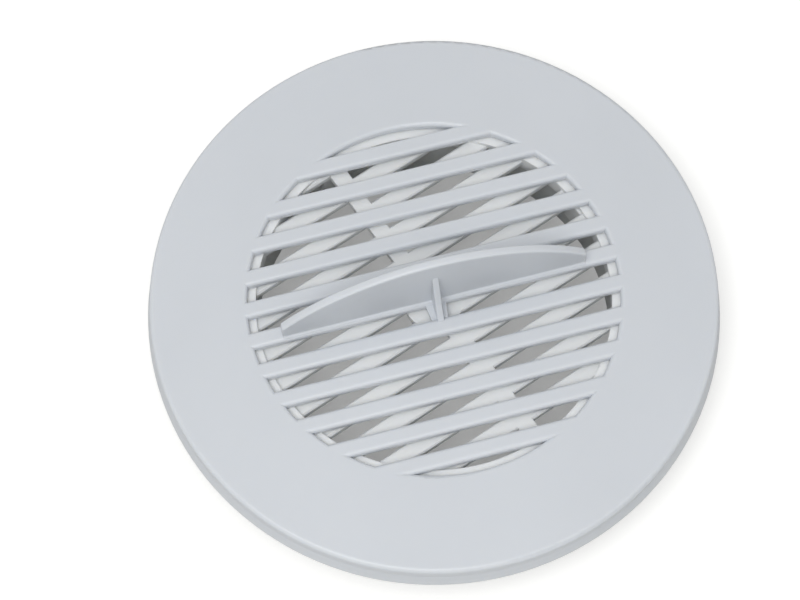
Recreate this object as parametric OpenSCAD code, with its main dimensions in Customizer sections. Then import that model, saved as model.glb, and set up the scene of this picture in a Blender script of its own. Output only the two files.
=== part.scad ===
// Round wall vent with a shutter. A slatted cover is turned by its fin over a
// fixed slatted grille: parallel slats close the vent, crossed slats open it.
// Origin: on the vent's axis, in the plane of the wall. +Z points into the room,
// and the fixed grille's slats run along X.

/* [Cover] */
// Diameter over the open edge of the rim
cover_d = 150; // [140:1:170]
// Height from the rim's open edge to the face
cover_h = 8; // [7.5:0.5:11]
// Gap between the rim's open edge and the wall
rim_lift = 1.5; // [1:0.25:3]
// Rounding of the face's outer edge
edge_r = 1.2; // [0.8:0.1:2]
// How much the lower half of the rim flares out, on each side
rim_flare = 1; // [0.4:0.1:1.4]
// Wall of the rim
rim_wall = 2; // [1.6:0.1:2.6]
// Thickness of the face and of its slats
face_t = 2.2; // [2:0.1:2.6]
// Diameter of the slatted opening
opening_d = 97; // [92:1:98]

/* [Front slats] */
// Distance from one slat to the next, in the cover and in the grille behind
slat_pitch = 8.6; // [7.6:0.2:10]
// Width of a slat of the cover
slat_w = 4.5; // [4.2:0.1:5]
// Rounding of the front edges of the slats and of the opening
slat_edge_r = 1.1; // [0.6:0.1:1.3]

/* [Fin] */
// Length of the fin along the middle slat
fin_len = 81; // [60:1:88]
// Height of the fin's crest above the face
fin_h = 23; // [16:0.5:28]
// Height of the fin's blunt ends
fin_end_h = 5; // [3:0.5:8]
// Thickness of the fin
fin_t = 2.2; // [1.8:0.1:2.6]
// Thickness of the stiffening rib on each side of the fin
rib_t = 1.6; // [1:0.1:2.4]
// Height of the stiffening ribs above the face
rib_h = 15; // [10:0.5:16]
// Width of the bridge under each rib, where it leaves the middle slat
bridge_w = 6; // [4:0.5:9]
// How far the bridges lie below the face
bridge_drop = 0.8; // [0.4:0.1:1.2]
// Radius of the hollow between the fin and its slat
fin_root_r = 0.6; // [0.3:0.1:0.7]

/* [Rear grille] */
// Gap between the cover's slats and the rear grille
layer_gap = 1.8; // [1:0.1:2.2]
// Thickness of the rear grille's slats
rear_t = 2.5; // [2:0.25:3]
// Width of a slat of the rear grille
rear_slat_w = 4.7; // [4.5:0.1:5.4]
// Width of the bar that crosses the rear slats
cross_w = 4.5; // [3:0.1:8]
// Bevel of the rear slats' front edges
rear_bevel = 0.5; // [0.2:0.1:0.9]
// Wall of the rear grille's rim, which stands up to just under the cover
rear_rim_w = 3.2; // [2.4:0.1:4]
// Diameter of the hub's disc
hub_d = 15.4; // [14:0.2:18]
// Diameter of the bearing sleeve behind the hub's disc
sleeve_d = 12; // [11.4:0.2:13]
// Length of the post's bearing, from the grille's front
bearing_len = 10; // [8:0.5:12]

/* [Snap hooks] */
// Number of hooks that hold the rear grille in the ring
hook_count = 4; // [3:1:6]
// Width of a hook
hook_w = 8; // [6:0.5:12]
// Thickness of a hook's leaf
hook_t = 1.2; // [1:0.1:1.6]
// Length of a hook below the grille's seat
hook_len = 7; // [6:0.5:9]
// How far a hook's nose reaches into its window
nose = 1.2; // [0.8:0.1:1.5]
// Height of a hook's nose
nose_h = 3; // [2.5:0.25:3.5]

/* [Mounting ring] */
// Outer diameter of the spigot that enters the duct
spigot_d = 98; // [96:1:99]
// Wall of the spigot
spigot_wall = 1.8; // [1.4:0.1:2]
// Length of the spigot behind the wall's plane
spigot_len = 16; // [14:1:40]
// Diameter of the flange that lies on the wall
flange_d = 140; // [136:1:141]
// Thickness of the flange
flange_t = 2; // [1.6:0.1:2.4]
// Wall of the collar around the rear grille
collar_wall = 1.4; // [1.2:0.1:1.6]
// Width of the ledge that bears the rear grille's rim
seat_w = 2.4; // [2:0.1:2.6]
// Pitch circle of the fixing holes
fixing_pcd = 122; // [121:0.5:124]
// Number of fixing holes
fixing_count = 4; // [4:1:6]
// Diameter of a fixing hole
fixing_d = 4.5; // [3.5:0.1:5]
// Diameter of the countersunk mouth of a fixing hole
fixing_head_d = 8.4; // [7:0.2:9]

/* [Pivot] */
// Diameter of the post on the cover
post_d = 6.4; // [6:0.1:7]
// Diameter of the pivot screw's shank
screw_d = 3.5; // [2.9:0.1:4]
// Length of the pivot screw under its head
screw_len = 12; // [10:0.5:14]
// Diameter of the pivot screw's head
head_d = 7; // [6:0.2:8]
// Height of the pivot screw's head
head_h = 2.4; // [1.8:0.1:3]
// Diameter of the washer under the screw's head
washer_d = 12; // [10:0.5:12]
// Thickness of that washer
washer_t = 1; // [0.8:0.1:1.5]
// Thickness of the dished spring washer
spring_t = 0.4; // [0.3:0.05:0.5]
// Dish of the spring washer
spring_dish = 0.5; // [0.3:0.05:0.6]

/* [Turning] */
// Angle between the two sets of slats as the vent is shown
shown_turn = 20; // [0:1:90]
// Angle between the two sets of slats when the cover is turned full open
full_turn = 90; // [60:5:90]
// Width of the stop lug and of the two stops, along the turn
stop_w = 3; // [2:0.5:5]

/* [Fits] */
// Radial clearance of the post in its bearing
run_fit = 0.05; // [0.02:0.01:0.1]
// Clearance of the screw and the washers
hole_fit = 0.05; // [0.02:0.01:0.1]
// Clearance around the rear grille in the ring
seat_fit = 0.2; // [0.1:0.05:0.3]
// Clearance between turning and fixed pieces
turn_gap = 0.5; // [0.3:0.1:0.8]

/* [Hidden] */
$fn = 96;
lap = 0.6; // how far joined shapes of one piece run into each other

// Heights above the wall's plane
face_z = rim_lift + cover_h;
slat_back_z = face_z - face_t;
rear_z = slat_back_z - layer_gap;
ledge_z = flange_t / 2;
collar_z = rear_z - turn_gap / 2;
rim_top_z = slat_back_z - turn_gap;
hub_end_z = rear_z - bearing_len;
spring_gap = spring_t + spring_dish + hole_fit;
post_end_z = hub_end_z - spring_gap;
washer_z = post_end_z - washer_t;

// Radii
cover_r = cover_d / 2;
opening_r = opening_d / 2;
spigot_r = spigot_d / 2;
bore_r = spigot_r - spigot_wall;
seat_r = bore_r + seat_w;
grille_r = seat_r - rear_rim_w;
collar_in = seat_r + seat_fit;
collar_out = collar_in + collar_wall;
guide_in = collar_out + turn_gap;
guide_w = 1.6;
post_r = post_d / 2;

// The stop lug and its place, midway between the guide ring and the fixing heads
lug_in = guide_in + guide_w + 1;
lug_len = 5;
lug_angle = full_turn / 2;
stop_r = lug_in + lug_len / 2;
stop_angle = full_turn / 2 + (stop_w + turn_gap) / stop_r * 180 / PI;
lug_z = flange_t + 1 + turn_gap;
stop_z = slat_back_z - turn_gap;

cover_white = [0.80, 0.82, 0.84];
frame_white = [0.78, 0.80, 0.82];
steel = [0.66, 0.67, 0.69];

// Half the chord of a circle at a distance from its centre
function half_chord(r, n) = sqrt(max(r * r - n * n, 0));

// Section of a slat with rounded front edges, its back at y = 0
module round_slat(w, t, r) {
    translate([-w / 2, 0]) square([w, t - r]);
    translate([-w / 2 + r, 0]) square([w - 2 * r, t]);
    for (side = [-1, 1]) translate([side * (w / 2 - r), t - r]) circle(r);
}

// Section of a slat with bevelled front edges, its back at y = 0
module bevel_slat(w, t, c) {
    polygon([[-w / 2, 0], [w / 2, 0], [w / 2, t - c], [w / 2 - c, t],
             [c - w / 2, t], [-w / 2, t - c]]);
}

// A row of slats along X that fills a circle and runs on past it, at multiples of
// the pitch moved by shift pitches. The child is the section of a slat, w wide.
module slats(r, over, shift, w) {
    count = ceil(r / slat_pitch);
    for (i = [-count : count]) {
        n = (i + shift) * slat_pitch;
        length = 2 * (half_chord(r, max(abs(n) - w / 2, 0)) + over);
        if (abs(n) - w / 2 < r - 1)
            translate([0, n, 0]) rotate([90, 0, 90])
                linear_extrude(length, center = true) children();
    }
}

// Section of the cover's face and rim, right of the axis
module cover_section() {
    top_r = cover_r - rim_flare;
    flare_z = rim_lift + cover_h / 2;
    difference() {
        polygon([[opening_r, slat_back_z], [opening_r, face_z], [top_r, face_z],
                 [top_r, flare_z], [cover_r, rim_lift], [cover_r - rim_wall, rim_lift],
                 [top_r - rim_wall, slat_back_z]]);
        // the face's outer edge
        translate([top_r - edge_r, face_z - edge_r]) difference() {
            square(edge_r + 1);
            circle(edge_r);
        }
        // the edge of the opening
        translate([opening_r + slat_edge_r, face_z - slat_edge_r]) difference() {
            translate([-slat_edge_r - 1, 0]) square(slat_edge_r + 1);
            circle(slat_edge_r);
        }
    }
}

// The crescent fin, its rounded crest cut from a disc that stands on edge
module fin() {
    rise = fin_h - fin_end_h;
    crest_r = (fin_len * fin_len / 4 + rise * rise) / (2 * rise);
    crest_edge = fin_t * 0.3;
    intersection() {
        translate([0, 0, face_z + fin_h - crest_r]) rotate([90, 0, 0]) rotate_extrude() {
            translate([0, -fin_t / 2]) square([crest_r - crest_edge, fin_t]);
            translate([0, -fin_t / 2 + crest_edge]) square([crest_r, fin_t - 2 * crest_edge]);
            for (side = [-1, 1])
                translate([crest_r - crest_edge, side * (fin_t / 2 - crest_edge)]) circle(crest_edge);
        }
        translate([-fin_len / 2, -fin_t, face_z - lap]) cube([fin_len, 2 * fin_t, fin_h + 2 * lap]);
    }
}

// Hollow filling along one side of the fin's foot
module fin_root() {
    rotate([90, 0, 90]) linear_extrude(fin_len, center = true) difference() {
        translate([fin_t / 2 - lap, -lap]) square(fin_root_r + lap);
        translate([fin_t / 2 + fin_root_r, fin_root_r]) circle(fin_root_r);
    }
}

// Flared rib that stiffens one side of the fin. It stands on a bridge that narrows
// towards the next slat.
module fin_rib() {
    foot = slat_pitch - slat_w / 2 + slat_edge_r;
    translate([0, 0, -face_t]) linear_extrude(face_t - bridge_drop)
        polygon([[-bridge_w / 2, 0], [bridge_w / 2, 0], [bridge_w / 3, foot], [-bridge_w / 3, foot]]);
    waist = fin_t / 2 + 0.55 * (foot - fin_t / 2);
    rotate([90, 0, 90]) linear_extrude(rib_t, center = true)
        polygon([[0, -face_t], [foot, -face_t], [foot, 0], [waist, rib_h / 3],
                 [fin_t / 2, rib_h], [0, rib_h]]);
}

// Cover: flange, slats, fin, post, guide ring and stop lug in one moulding
module front_cover() {
    color(cover_white) rotate([0, 0, -shown_turn]) difference() {
        union() {
            rotate_extrude() cover_section();
            translate([0, 0, slat_back_z]) slats(opening_r, slat_edge_r + 2, 0, slat_w)
                round_slat(slat_w, face_t, slat_edge_r);
            fin();
            for (side = [0, 180]) rotate([0, 0, side]) translate([0, 0, face_z]) {
                fin_root();
                fin_rib();
            }
            translate([0, 0, post_end_z])
                cylinder(h = slat_back_z + face_t / 2 - post_end_z, r = post_r);
            // ring that runs around the collar of the mounting ring
            translate([0, 0, flange_t + turn_gap]) rotate_extrude()
                translate([guide_in, 0]) square([guide_w, slat_back_z - flange_t - turn_gap + lap]);
            rotate([0, 0, lug_angle]) translate([lug_in, -stop_w / 2, lug_z])
                cube([lug_len, stop_w, slat_back_z - lug_z + lap]);
        }
        translate([0, 0, post_end_z - 1])
            cylinder(h = screw_len - washer_t + 2, r = screw_d / 2 + hole_fit);
    }
}

// One snap hook: a leaf down the spigot's inside with an outward nose
module hook() {
    leaf_out = bore_r - seat_fit;
    leaf_in = leaf_out - hook_t;
    nose_z = ledge_z - hook_len;
    translate([leaf_in, -hook_w / 2, ledge_z])
        cube([grille_r + lap - leaf_in, hook_w, rear_z - ledge_z - 0.5]);
    rotate([90, 0, 0]) linear_extrude(hook_w, center = true)
        polygon([[leaf_in, ledge_z + lap], [leaf_out, ledge_z + lap], [leaf_out, nose_z + nose_h],
                 [leaf_out + nose, nose_z + nose_h], [leaf_out + nose, nose_z + 0.8 * nose_h],
                 [leaf_out, nose_z], [leaf_in, nose_z]]);
}

// Rear grille: rim, slats, cross bar, hub with its bearing sleeve and hooks in one
// moulding
module rear_grille() {
    color(frame_white) difference() {
        union() {
            translate([0, 0, ledge_z]) rotate_extrude()
                translate([grille_r, 0]) square([rear_rim_w, rim_top_z - ledge_z]);
            intersection() {
                translate([0, 0, rear_z - rear_t]) union() {
                    slats(grille_r, lap, 0.5, rear_slat_w)
                        bevel_slat(rear_slat_w, rear_t, rear_bevel);
                    translate([-cross_w / 2, -grille_r - lap, 0])
                        cube([cross_w, 2 * (grille_r + lap), rear_t]);
                }
                cylinder(h = 2 * face_z, r = grille_r + lap, center = true);
            }
            translate([0, 0, rear_z - rear_t]) cylinder(h = rear_t, d = hub_d);
            translate([0, 0, hub_end_z]) cylinder(h = bearing_len - rear_t / 2, d = sleeve_d);
            for (i = [0 : hook_count - 1]) rotate([0, 0, i * 360 / hook_count]) hook();
        }
        translate([0, 0, hub_end_z - 1]) cylinder(h = bearing_len + 2, r = post_r + run_fit);
    }
}

// One stop that stands on the flange, with its inner face at the stop angle
module stop(angle) {
    rotate([0, 0, angle]) translate([lug_in, -stop_w / 2, flange_t - lap])
        cube([lug_len, stop_w, stop_z - flange_t + lap]);
}

// Mounting ring: flange, spigot and collar, with hook windows and fixing holes
module mounting_ring() {
    chamfer = spigot_wall / 2;
    window_z = ledge_z - hook_len;
    pad_d = fixing_head_d + 3;
    color(frame_white) difference() {
        union() {
            rotate_extrude() polygon([[bore_r, -spigot_len], [spigot_r - chamfer, -spigot_len],
                [spigot_r, -spigot_len + 2 * chamfer], [spigot_r, 0], [flange_d / 2, 0],
                [flange_d / 2, flange_t], [collar_out, flange_t], [collar_out, collar_z],
                [collar_in, collar_z], [collar_in, ledge_z], [bore_r, ledge_z]]);
            for (i = [0 : fixing_count - 1]) rotate([0, 0, i * 360 / fixing_count])
                translate([fixing_pcd / 2, 0, 0]) cylinder(h = flange_t + 1, d = pad_d);
            for (side = [-1, 1]) stop(side * stop_angle);
        }
        for (i = [0 : fixing_count - 1]) rotate([0, 0, i * 360 / fixing_count])
            translate([fixing_pcd / 2, 0, 0]) {
                translate([0, 0, -1]) cylinder(h = flange_t + 3, d = fixing_d);
                translate([0, 0, flange_t + 1 - (fixing_head_d - fixing_d) / 2])
                    cylinder(h = (fixing_head_d - fixing_d) / 2 + 0.01, d1 = fixing_d, d2 = fixing_head_d + 0.02);
            }
        for (i = [0 : hook_count - 1]) rotate([0, 0, i * 360 / hook_count])
            translate([bore_r - 1, -hook_w / 2 - seat_fit, window_z])
                cube([spigot_wall + 2, hook_w + 2 * seat_fit, nose_h + seat_fit]);
    }
}

// Dished spring washer that makes the cover stay where it is turned
module friction_spring() {
    in_r = post_r + 0.3;
    out_r = washer_d / 2 - 0.3;
    color(steel) translate([0, 0, hub_end_z - spring_gap + hole_fit / 2]) rotate_extrude()
        polygon([[in_r, 0], [out_r, spring_dish], [out_r, spring_dish + spring_t], [in_r, spring_t]]);
}

// Flat washer between the screw's head and the end of the post
module pivot_washer() {
    color(steel) translate([0, 0, washer_z]) difference() {
        cylinder(h = washer_t, d = washer_d);
        translate([0, 0, -1]) cylinder(h = washer_t + 2, r = screw_d / 2 + hole_fit);
    }
}

// Pan-head screw with a cross recess
module pivot_screw() {
    color(steel) translate([0, 0, washer_z]) difference() {
        union() {
            cylinder(h = screw_len, d = screw_d);
            translate([0, 0, -head_h]) intersection() {
                cylinder(h = head_h, d = head_d);
                translate([0, 0, head_d * 0.9]) sphere(d = head_d * 1.8);
            }
        }
        for (a = [0, 90]) rotate([0, 0, a]) translate([-head_d * 0.3, -0.45, -head_h - 1])
            cube([head_d * 0.6, 0.9, 2.3]);
    }
}

mounting_ring();
rear_grille();
friction_spring();
front_cover();
pivot_washer();
pivot_screw();
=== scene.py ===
"""Looks of a round wall vent: a slatted cover with a crescent fin turns over a
fixed slatted grille, and both sit in a mounting ring that reaches into a duct."""
from math import cos, pi, radians, sin

import bpy
import numpy as np
from mathutils import Matrix, Vector


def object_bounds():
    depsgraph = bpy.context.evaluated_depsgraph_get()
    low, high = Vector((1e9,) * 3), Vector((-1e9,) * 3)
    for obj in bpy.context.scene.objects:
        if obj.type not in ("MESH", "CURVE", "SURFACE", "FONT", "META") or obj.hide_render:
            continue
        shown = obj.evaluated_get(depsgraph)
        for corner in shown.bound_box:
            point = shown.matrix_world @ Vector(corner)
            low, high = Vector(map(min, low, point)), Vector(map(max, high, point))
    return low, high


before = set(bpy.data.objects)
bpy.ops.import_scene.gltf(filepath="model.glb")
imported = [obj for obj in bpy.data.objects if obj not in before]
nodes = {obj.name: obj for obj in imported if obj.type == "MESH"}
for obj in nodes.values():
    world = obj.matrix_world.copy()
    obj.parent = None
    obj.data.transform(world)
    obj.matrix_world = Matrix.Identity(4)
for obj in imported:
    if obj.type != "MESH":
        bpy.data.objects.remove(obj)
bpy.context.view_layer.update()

# Camera
# A long lens that looks down on the face from above the vent's lower edge. Its
# place was worked out from the outlines of the flange and of the slatted opening.
face_height = 0.0095
edge_radius = 0.071995
lens_pixels = 2502.5
image_width = 800
picture_turn = radians(-34.8)
tilt = radians(20.78)
tilt_axis = Vector((cos(0.0213), sin(0.0213), 0))
stand_off = Vector((0.1221, 0.0165, -9.0192)) * edge_radius

lens = bpy.data.cameras.new("photo_camera")
lens.sensor_width = 36
lens.lens = lens_pixels / image_width * lens.sensor_width
lens.clip_start, lens.clip_end = 0.01, 10
camera = bpy.data.objects.new("photo_camera", lens)
bpy.context.scene.collection.objects.link(camera)
camera.matrix_world = (
    Matrix.Translation((0, 0, face_height))
    @ Matrix.Rotation(picture_turn, 4, "Z")
    @ Matrix.Rotation(tilt, 4, tilt_axis)
    @ Matrix.Translation(-stand_off)
)
bpy.context.scene.camera = camera


# Mounting ring
# A flange with a short spigot, screwed to the wall over the duct. It is injection
# moulded in white polypropylene, and its back shows where the ejector pins pushed.
def linear(code):
    """An sRGB hex colour as linear RGBA."""
    parts = np.array([int(code[i:i + 2], 16) for i in (1, 3, 5)]) / 255
    low = parts / 12.92
    high = ((parts + 0.055) / 1.055) ** 2.4
    return (*np.where(parts <= 0.04045, low, high), 1)


def per_metre(size_mm):
    """The Scale of a noise whose features are this many millimetres apart."""
    return 1000 / size_mm


def add(tree, kind, settings, links):
    """A node with its properties and sockets set by name or number, and linked."""
    made = tree.nodes.new(kind)
    for name, value in settings.items():
        if isinstance(name, str) and hasattr(made, name):
            setattr(made, name, value)
        else:
            made.inputs[name].default_value = value
    for name, source in links.items():
        tree.links.new(source, made.inputs[name])
    return made


def wear(piece, name):
    """Gives a piece one new, empty material, and returns its tree and its output."""
    made = bpy.data.materials.new(name)
    made.use_nodes = True
    made.node_tree.nodes.clear()
    piece.data.materials.clear()
    piece.data.materials.append(made)
    return made.node_tree, made.node_tree.nodes.new("ShaderNodeOutputMaterial")


def pin_marks(tree, place, count, circle_mm, mark_mm, top_mm):
    """Height of round marks on a circle about Z, all below top_mm: 1 on a mark.

    The angle about Z is wrapped into count equal parts. The distance from a mark is
    the root of (radius - circle)^2 + (part of the circle from the mark)^2.
    """
    axes = add(tree, "ShaderNodeSeparateXYZ", {}, {0: place})
    angle = add(tree, "ShaderNodeMath", {"operation": "ARCTAN2"}, {0: axes.outputs[1], 1: axes.outputs[0]})
    part = add(tree, "ShaderNodeMath", {"operation": "WRAP", 1: pi / count, 2: -pi / count},
               {0: angle.outputs[0]})
    along = add(tree, "ShaderNodeMath", {"operation": "MULTIPLY", 1: circle_mm / 1000}, {0: part.outputs[0]})
    flat = add(tree, "ShaderNodeVectorMath", {"operation": "MULTIPLY", 1: (1, 1, 0)}, {0: place})
    radius = add(tree, "ShaderNodeVectorMath", {"operation": "LENGTH"}, {0: flat.outputs[0]})
    across = add(tree, "ShaderNodeMath", {"operation": "SUBTRACT", 1: circle_mm / 1000},
                 {0: radius.outputs["Value"]})
    offset = add(tree, "ShaderNodeCombineXYZ", {}, {0: along.outputs[0], 1: across.outputs[0]})
    distance = add(tree, "ShaderNodeVectorMath", {"operation": "LENGTH"}, {0: offset.outputs[0]})
    mark_r, edge = mark_mm / 2000, 0.00008
    disc = add(tree, "ShaderNodeMapRange", {1: mark_r + edge, 2: mark_r - edge}, {0: distance.outputs["Value"]})
    below = add(tree, "ShaderNodeMath", {"operation": "LESS_THAN", 1: top_mm / 1000}, {0: axes.outputs[2]})
    return add(tree, "ShaderNodeMath", {"operation": "MULTIPLY"},
               {0: disc.outputs[0], 1: below.outputs[0]}).outputs[0]


def moulding(piece, name, tone, shade, ior, gloss, marks):
    """White plastic from a mould with a fine spark-eroded grain.

    Each pattern has a real size: clouds of tone about 40 mm across, a slow sink of
    the walls over 14 mm, and a grain of 0.25 mm, drawn at 0.7 mm so that it shows.
    """
    tree, out = wear(piece, name)
    place = add(tree, "ShaderNodeTexCoord", {}, {}).outputs["Object"]
    clouds = add(tree, "ShaderNodeTexNoise", {"Scale": per_metre(40), "Detail": 3}, {"Vector": place})
    colour = add(tree, "ShaderNodeMix", {"data_type": "RGBA", 6: linear(tone), 7: linear(shade)},
                 {0: clouds.outputs["Fac"]})
    grain = add(tree, "ShaderNodeTexNoise", {"Scale": per_metre(0.7), "Detail": 2}, {"Vector": place})
    sink = add(tree, "ShaderNodeTexNoise", {"Scale": per_metre(14), "Detail": 1}, {"Vector": place})
    edges = add(tree, "ShaderNodeBevel", {"samples": 4, "Radius": 0.0003}, {})
    slow = add(tree, "ShaderNodeBump", {"Strength": 0.25, "Distance": 0.0002},
               {"Height": sink.outputs["Fac"], "Normal": edges.outputs["Normal"]})
    pins = add(tree, "ShaderNodeBump", {"Strength": 0.5, "Distance": 0.0001, "invert": True},
               {"Height": pin_marks(tree, place, *marks), "Normal": slow.outputs["Normal"]})
    fine = add(tree, "ShaderNodeBump", {"Strength": 0.12, "Distance": 0.00003},
               {"Height": grain.outputs["Fac"], "Normal": pins.outputs["Normal"]})
    sheen = add(tree, "ShaderNodeMapRange", {3: gloss - 0.04, 4: gloss + 0.04}, {0: grain.outputs["Fac"]})
    skin = add(tree, "ShaderNodeBsdfPrincipled",
               {"IOR": ior, "Subsurface Weight": 0.5, "Subsurface Scale": 0.002,
                "Subsurface Radius": (1.0, 0.95, 0.85)},
               {"Base Color": colour.outputs[2], "Roughness": sheen.outputs[0],
                "Normal": fine.outputs["Normal"]})
    tree.links.new(skin.outputs["BSDF"], out.inputs["Surface"])


# Polypropylene from a plain cavity: waxy, a little translucent, with a dull sheen.
moulding(nodes["mounting_ring"], "polypropylene_moulded", "#DADCDC", "#D2D4D4",
         ior=1.49, gloss=0.48, marks=(8, 66, 4, 0.5))

# Rear grille
# A disc of slats with a cross bar and a bearing sleeve, snapped into the ring by
# its hooks. It is moulded in the same plastic as the cover, yet its colour is
# painted lighter than the cover's: a painted highlight that lifts it against
# the shade in its recess behind the cover's slats.
# ABS from a spark-eroded cavity: satin, with no clear reflection.
moulding(nodes["rear_grille"], "abs_grille_painted_lighter", "#ECEEEE", "#E6E8E9",
         ior=1.54, gloss=0.42, marks=(12, 44, 2.5, 3.2))

# Front cover
# The part that is held: flange, slats, fin and pivot post in one piece of white
# ABS. Turning it by the fin moves its slats across those of the grille.
# ABS from a spark-eroded cavity: a cool white, satin, with a broad soft sheen.
moulding(nodes["front_cover"], "abs_moulded_cover", "#D2D6DB", "#CBCFD4",
         ior=1.54, gloss=0.40, marks=(12, 64, 4, 8))


# Spring washer, washer and pivot screw
# A dished spring washer presses the cover against its bearing. The pan-head screw
# and its washer hold it there, both pressed or rolled from steel and zinc plated.
def steel(piece, name, tone, shade, gloss, turned_mm):
    """Steel with rings left by the tool, so many millimetres apart, about Z."""
    tree, out = wear(piece, name)
    place = add(tree, "ShaderNodeTexCoord", {}, {}).outputs["Object"]
    clouds = add(tree, "ShaderNodeTexNoise", {"Scale": per_metre(2.5), "Detail": 4}, {"Vector": place})
    colour = add(tree, "ShaderNodeMix", {"data_type": "RGBA", 6: linear(tone), 7: linear(shade)},
                 {0: clouds.outputs["Fac"]})
    rings = add(tree, "ShaderNodeTexWave",
                {"wave_type": "RINGS", "rings_direction": "Z", "Scale": per_metre(turned_mm) / 3,
                 "Distortion": 0.6, "Detail": 2}, {"Vector": place})
    bump = add(tree, "ShaderNodeBump", {"Strength": 0.2, "Distance": 0.00002},
               {"Height": rings.outputs["Fac"]})
    sheen = add(tree, "ShaderNodeMapRange", {3: gloss - 0.06, 4: gloss + 0.08}, {0: clouds.outputs["Fac"]})
    skin = add(tree, "ShaderNodeBsdfPrincipled", {"Metallic": 1},
               {"Base Color": colour.outputs[2], "Roughness": sheen.outputs[0],
                "Normal": bump.outputs["Normal"]})
    tree.links.new(skin.outputs["BSDF"], out.inputs["Surface"])


# Spring steel, stamped and tempered: a darker, slightly brown grey.
steel(nodes["friction_spring"], "spring_steel_tempered", "#A3A19C", "#8B8984", gloss=0.34, turned_mm=0.3)
# Zinc plate over rolled or stamped steel: bright, bluish, with a milky haze.
steel(nodes["pivot_washer"], "zinc_plated_steel_stamped", "#CDD0D3", "#B7BBC0", gloss=0.36, turned_mm=0.5)
steel(nodes["pivot_screw"], "zinc_plated_steel_rolled", "#D0D3D6", "#BABEC3", gloss=0.30, turned_mm=0.25)

# Table, room and lamp
# The vent lies on a sheet of matt white paper in a bright room. A broad soft lamp
# stands up and to the left of the picture, so the shadow falls to the right.
paper_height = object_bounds()[0].z
half_sheet = 3
sheet_mesh = bpy.data.meshes.new("paper")
sheet_mesh.from_pydata([(x * half_sheet, y * half_sheet, paper_height)
                        for x, y in ((-1, -1), (1, -1), (1, 1), (-1, 1))], [], [(0, 1, 2, 3)])
sheet = bpy.data.objects.new("paper", sheet_mesh)
bpy.context.scene.collection.objects.link(sheet)
tree, out = wear(sheet, "paper_matt")
place = add(tree, "ShaderNodeTexCoord", {}, {}).outputs["Object"]
flat = add(tree, "ShaderNodeVectorMath", {"operation": "MULTIPLY", 1: (1, 1, 0)}, {0: place})
away = add(tree, "ShaderNodeVectorMath", {"operation": "LENGTH"}, {0: flat.outputs[0]})
# Seen by the camera the paper glows, so that it shows white. The glow is 0.2 within 45 mm of the vent's axis and
# grows to 0.6 by 100 mm: painted shade under the vent. There the paper, seen through the gaps, is its real shadow
# lifted by painted light to a set grey.
painted_shade_glow_strength = add(tree, "ShaderNodeMapRange", {1: 0.045, 2: 0.10, 3: 0.2, 4: 0.6}, {0: away.outputs["Value"]})
matt = add(tree, "ShaderNodeBsdfDiffuse", {"Color": linear("#DCDCDA")}, {})
backdrop_glow_and_painted_shade = add(tree, "ShaderNodeEmission", {}, {"Strength": painted_shade_glow_strength.outputs[0]})
lit = add(tree, "ShaderNodeAddShader", {}, {0: matt.outputs[0], 1: backdrop_glow_and_painted_shade.outputs[0]})
rays = add(tree, "ShaderNodeLightPath", {}, {})
seen = add(tree, "ShaderNodeMixShader", {}, {0: rays.outputs["Is Camera Ray"], 1: matt.outputs[0], 2: lit.outputs[0]})
tree.links.new(seen.outputs[0], out.inputs["Surface"])

room_strength = 0.58
room = bpy.data.worlds.new("room")
room.use_nodes = True
room.node_tree.nodes.clear()
tree = room.node_tree
# The room lights the vent at 0.58. It shows at full strength to the camera as a white backdrop, and also in
# reflections: a painted reflection, brighter than the light the room sheds.
rays = add(tree, "ShaderNodeLightPath", {}, {})
shown = add(tree, "ShaderNodeMath", {"operation": "MAXIMUM"},
            {0: rays.outputs["Is Camera Ray"], 1: rays.outputs["Is Glossy Ray"]})
walls = add(tree, "ShaderNodeBackground", {"Color": linear("#FFFFFF"), "Strength": room_strength}, {})
white = add(tree, "ShaderNodeBackground", {"Color": linear("#FFFFFF"), "Strength": 1.0}, {})
both = add(tree, "ShaderNodeMixShader", {}, {0: shown.outputs[0], 1: walls.outputs[0], 2: white.outputs[0]})
end = add(tree, "ShaderNodeOutputWorld", {}, {"Surface": both.outputs[0]})
bpy.context.scene.world = room

lamp = bpy.data.lights.new("soft_lamp", "AREA")
lamp.shape = "DISK"
lamp.size = 0.5
lamp.energy = 3.6
lamp_stand = bpy.data.objects.new("soft_lamp", lamp)
bpy.context.scene.collection.objects.link(lamp_stand)
lamp_stand.matrix_world = Matrix.Rotation(picture_turn, 4, "Z") @ Matrix.Translation((-0.12, -0.34, 0.8))
toward_vent = -lamp_stand.matrix_world.translation
lamp_stand.rotation_euler = toward_vent.to_track_quat("-Z", "Y").to_euler()

bpy.context.scene.view_settings.view_transform = "Standard"
